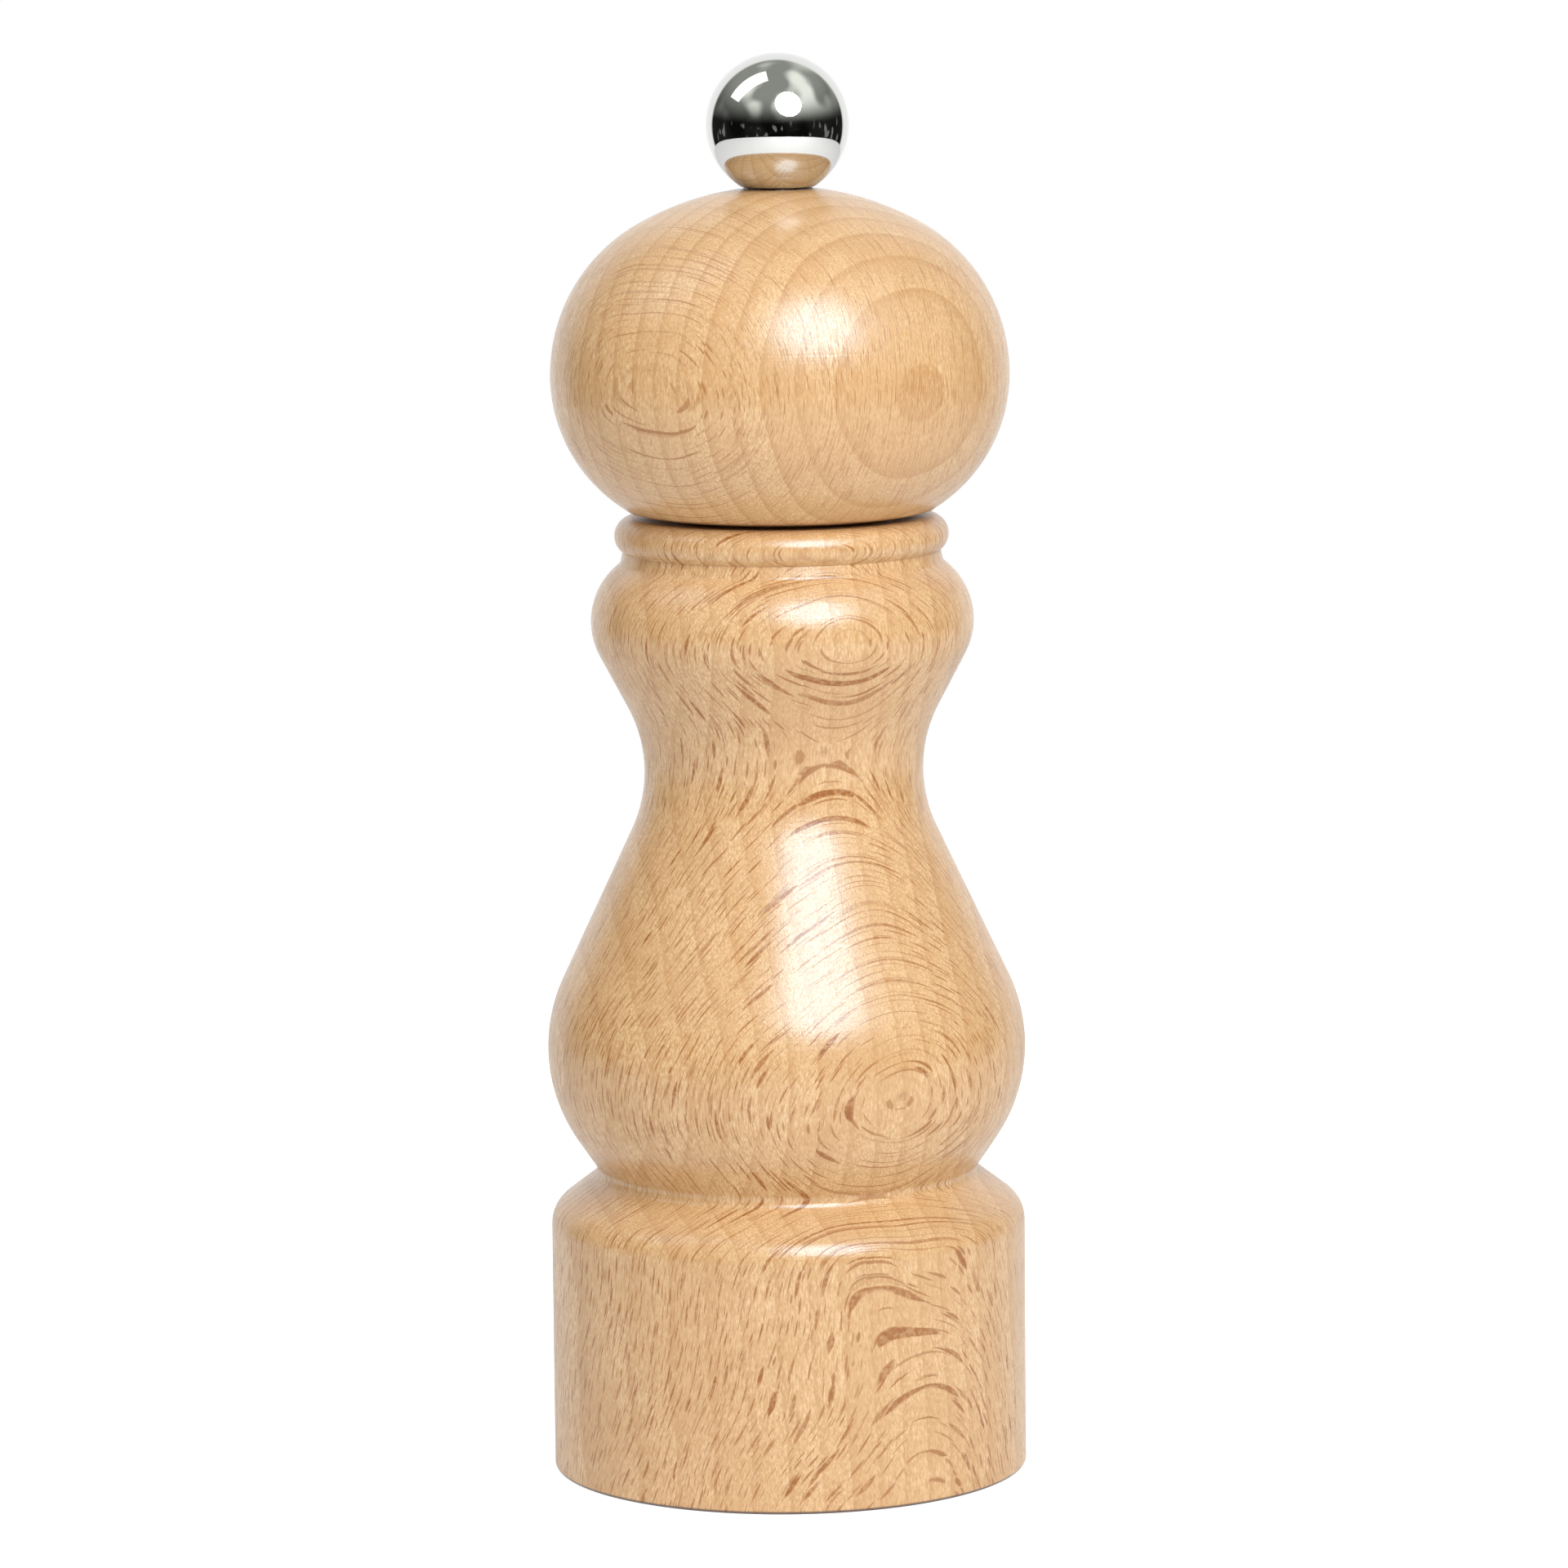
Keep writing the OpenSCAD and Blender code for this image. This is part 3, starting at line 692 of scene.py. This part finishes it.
# %% The metal group
metal, m_in, m_out = new_group(
    "metal_surface",
    [("Vector", "NodeSocketVector", None), ("Line Scale", "NodeSocketFloat", 8.0)],
    ("Lines", "Film", "Scratches"))
run = split(metal, m_in["Vector"])
drawn = combine(metal, calc(metal, "MULTIPLY", run[0], 0.05), run[1], run[2])
drawn_lines = add(metal, "ShaderNodeTexNoise", {
    "Vector": drawn, "Scale": m_in["Line Scale"], "Detail": 3.0}).outputs[0]
film = step(metal, noise(metal, m_in["Vector"], 0.35, 4.0, 0.65), 0.4, 0.7)
slit = add(metal, "ShaderNodeTexVoronoi", {
    "Vector": add(metal, "ShaderNodeMapping", {
        "Vector": m_in["Vector"], "Rotation": (0.6, 0.9, 0.4), "Scale": (0.12, 1.4, 1.4)
    }).outputs[0], "Scale": 1.0}, feature="DISTANCE_TO_EDGE").outputs[0]
scratches = calc(metal, "MULTIPLY", step(metal, slit, 0.012, 0.004),
                 step(metal, noise(metal, m_in["Vector"], 0.8), 0.5, 0.62))
for label, value in (("Lines", drawn_lines), ("Film", film), ("Scratches", scratches)):
    metal.links.new(value, m_out[label])
print("metal_surface:", len(metal.nodes), "nodes")


# %% The metals
def metal_finish(name, colour, dull, rough, film, scratch, lines, bump, along=(0, 0, 0),
                 line_scale=8.0):
    """A metal: two tones mixed by film and lines, with roughness and bump from the same masks."""
    material, tree, shader, place = new_material(name)
    turned_place = add(tree, "ShaderNodeMapping", {
        "Vector": place, "Rotation": along, "Scale": (1000, 1000, 1000)}).outputs[0]
    mask = add(tree, "ShaderNodeGroup", {"Vector": turned_place, "Line Scale": line_scale},
               node_tree=metal).outputs
    worn = calc(tree, "MULTIPLY_ADD", mask["Film"], film,
                calc(tree, "MULTIPLY", mask["Lines"], lines), clamp=True)
    tree.links.new(mix(tree, worn, colour, dull), shader.inputs["Base Color"])
    tree.links.new(weighed(tree, rough, (worn, 0.3), (mask["Scratches"], scratch)),
                   shader.inputs["Roughness"])
    shader.inputs["Metallic"].default_value = 1.0
    relief(tree, shader, weighed(tree, calc(tree, "MULTIPLY", mask["Lines"], 0.5),
                                 (mask["Scratches"], -0.6)), bump, 0.04)
    return material


chrome = metal_finish(
    "mirror_chrome", srgb(222, 222, 220), srgb(212, 211, 208), rough=0.015, film=0.06,
    scratch=0.15, lines=0.02, bump=0.01)
drawn_steel = metal_finish(
    "drawn_steel", srgb(205, 205, 208), srgb(165, 166, 170), rough=0.18, film=0.1, scratch=0.2,
    lines=0.5, bump=0.35, along=(0, math.radians(90), 0))
spring_steel = metal_finish(
    "spring_wire", srgb(176, 177, 182), srgb(120, 121, 126), rough=0.22, film=0.4, scratch=0.2,
    lines=0.4, bump=0.3)
burr_steel = metal_finish(
    "hardened_steel", srgb(112, 112, 117), srgb(62, 61, 63), rough=0.34, film=0.8, scratch=0.2,
    lines=0.5, bump=0.8)
zinc = metal_finish(
    "zinc_plate", srgb(208, 210, 211), srgb(178, 180, 184), rough=0.2, film=0.4, scratch=0.2,
    lines=0.25, bump=0.3, line_scale=5.0)
brass = metal_finish(
    "turned_brass", srgb(214, 178, 106), srgb(170, 130, 70), rough=0.2, film=0.5, scratch=0.2,
    lines=0.4, bump=0.4)
print("metals:", [m.name for m in (chrome, drawn_steel, spring_steel, burr_steel, zinc, brass)])

# %% [markdown]
# ## Nylon
#
# The lock ring is a slice of white nylon that grips the thread. Nylon is waxy and never quite
# even, so one fine noise moves its colour, its roughness and its surface together.

# %% Nylon for the lock ring
nylon, nylon_tree, nylon_shader, nylon_place = new_material("nylon")
mottle = noise(nylon_tree, nylon_place, 900.0, 3.0)
nylon_tree.links.new(mix(nylon_tree, mottle, srgb(232, 231, 222), srgb(214, 212, 200)),
                     nylon_shader.inputs["Base Color"])
nylon_tree.links.new(step(nylon_tree, mottle, 0.3, 0.7, 0.4, 0.6),
                     nylon_shader.inputs["Roughness"])
relief(nylon_tree, nylon_shader, mottle, 0.2, 0.05)
print("nylon:", len(nylon_tree.nodes), "nodes")

# %% Dress every other piece
for piece, material in ((knob_ball, chrome), (shaft_bar, drawn_steel),
                        (spring_coil, spring_steel), (inner_burr_cone, burr_steel)):
    dress(piece, material)
finishes = {"base_plate": zinc, "base_screws": zinc, "outer_burr": burr_steel, "bridge": zinc,
            "bridge_rivets": drawn_steel, "spring_seat": zinc, "spring_washer": zinc,
            "burr_washer": zinc, "burr_nut": zinc, "drive_plate": zinc,
            "drive_plate_screws": zinc, "knob_washer": zinc, "knob_insert": brass,
            "knob_lock_ring": nylon}
for node_name, material in finishes.items():
    dress(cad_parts[node_name], material)
print("CAD nodes dressed:", len(finishes))

# %% [markdown]
# ## The table
#
# The mill stands on a white table that runs back into white. Light alone would leave it grey
# towards the edges, so it also glows. How much depends on who is looking: the camera sees it as
# plain white, polished metal sees it a little less bright, and it lights the wood only faintly,
# so that the glow doesn't flatten the shading.

# %% Make the table
table_r, table_thick = 0.59, 0.02
glow, glow_seen, glow_mirrored = 0.05, 0.7, 0.1
table, table_tree, table_shader, table_place = new_material("white_table")
paper = noise(table_tree, table_place, 60.0, 3.0)
table_tree.links.new(mix(table_tree, paper, srgb(246, 246, 246), srgb(242, 242, 242)),
                     table_shader.inputs["Base Color"])
table_shader.inputs["Roughness"].default_value = 0.9
table_shader.inputs["Emission Color"].default_value = (1, 1, 1, 1)
table_path = add(table_tree, "ShaderNodeLightPath").outputs
table_tree.links.new(weighed(table_tree, glow, (table_path["Is Glossy Ray"], glow_mirrored),
                             (table_path["Is Camera Ray"], glow_seen)),
                     table_shader.inputs["Emission Strength"])
table_turn = np.linspace(0, 2 * np.pi, 64, endpoint=False)
table_radii = np.array([0.0, 0.1, 0.2, 0.4, table_r, table_r, 0.0])[:, None]
table_heights = np.array([0.0, 0, 0, 0, 0, -table_thick, -table_thick])[:, None]
table_grid = np.stack([table_radii * np.cos(table_turn), table_radii * np.sin(table_turn),
                       table_heights + 0 * table_turn], -1)
table_top = make_piece("table_top", table_grid, poles=(True, True))
dress(table_top, table)

# %% [markdown]
# ## The lamps
#
# A round softbox in front on the right gives the wood its upright highlight and the ball its
# round one. One lamp can't be both soft on the wood and bright in the mirror, so two hang
# in the same place: one only lights, the other only shines. The second is a hair nearer and a
# hair smaller, or the first would hide it. A long strip overhead on the left makes the ball's
# second reflection.

# %% Hang the lamps
def lamp(name, shape, size, direction, distance, power, target=(0, 0, 0.09)):
    """An area light that looks at the mill from a direction, given as a vector."""
    data = bpy.data.lights.new(name, "AREA")
    data.shape = shape
    data.size = size[0]
    data.size_y = size[-1]
    data.energy = power
    way = np.array(direction, float) / np.linalg.norm(direction)
    aim = -way
    side = np.cross(aim, (0, 0, 1))
    side = side / np.linalg.norm(side)
    turn = Matrix(np.column_stack([side, np.cross(side, aim), -aim]).tolist())
    light = bpy.data.objects.new(name, data)
    light.matrix_world = Matrix.Translation((np.array(target) + way * distance).tolist()) \
        @ turn.to_4x4()
    bpy.context.scene.collection.objects.link(light)
    print(name, tuple(round(v, 2) for v in light.location), power, "W")
    return light


front = (0.281, -0.724, 0.629)
lamp("front_softbox", "DISK", (0.62,), front, 0.9, 6.6).visible_glossy = False
lamp("front_softbox_shine", "DISK", (0.61,), front, 0.89, 10.0).visible_diffuse = False
lamp("overhead_strip", "RECTANGLE", (0.46, 1.0), (-0.55, -0.02, 0.84), 1.2, 2.0)

# %% [markdown]
# ## The room
#
# Behind the mill everything is white, which brightens the edges of the wood. The room behind
# the camera is dim: nearly black at the height of the mill, paler towards the ceiling with
# soft patches, and with a few small pale things along the horizon. That gives a chrome ball
# its dark middle. The room too depends on who is looking: the camera sees plain white, the
# wood is lit by an even soft grey, and only mirrors see the dim room, which is faintly green.

# %% Paint the room
world = bpy.data.worlds.new("studio")
bpy.context.scene.world = world
world.use_nodes = True
room = world.node_tree
ceiling, things, soft_light = 0.75, 0.2, 0.45
view = add(room, "ShaderNodeTexCoord").outputs["Generated"]
way = split(room, view)
behind = step(room, way[1], 0.6, 0.7)
dim = step(room, way[2], 0.05, 0.75, 0.01, ceiling)
dim = calc(room, "MULTIPLY", dim, step(room, noise(room, view, 1.3, 1.0), 0.4, 0.6, 0.45, 1.5))
upright = combine(room, calc(room, "MULTIPLY", way[0], 6.0), calc(room, "MULTIPLY", way[1], 6.0),
                  calc(room, "MULTIPLY", way[2], 3.0))
horizon = calc(room, "MULTIPLY", step(room, way[2], -0.32, -0.22),
               step(room, way[2], 0.2, -0.05))
clutter = step(room, noise(room, upright, 1.0, 1.0), 0.6, 0.68, 0, things)
dim = calc(room, "ADD", dim, calc(room, "MULTIPLY", clutter, horizon))
strength = calc(room, "MULTIPLY_ADD", calc(room, "SUBTRACT", 1.05, dim), behind, dim)
tint = mix(room, behind, (0.96, 1.0, 0.92, 1), (1, 1, 1, 1))
path = add(room, "ShaderNodeLightPath").outputs
for ray, level in (("Is Camera Ray", 1.0), ("Is Diffuse Ray", soft_light)):
    strength = calc(room, "MULTIPLY_ADD", calc(room, "SUBTRACT", level, strength), path[ray],
                    strength)
    tint = mix(room, path[ray], tint, (1, 1, 1, 1))
room.links.new(strength, room.nodes["Background"].inputs["Strength"])
room.links.new(tint, room.nodes["Background"].inputs["Color"])
bpy.context.scene.view_settings.view_transform = "Standard"
print("studio ready:", len(room.nodes), "nodes in the room")
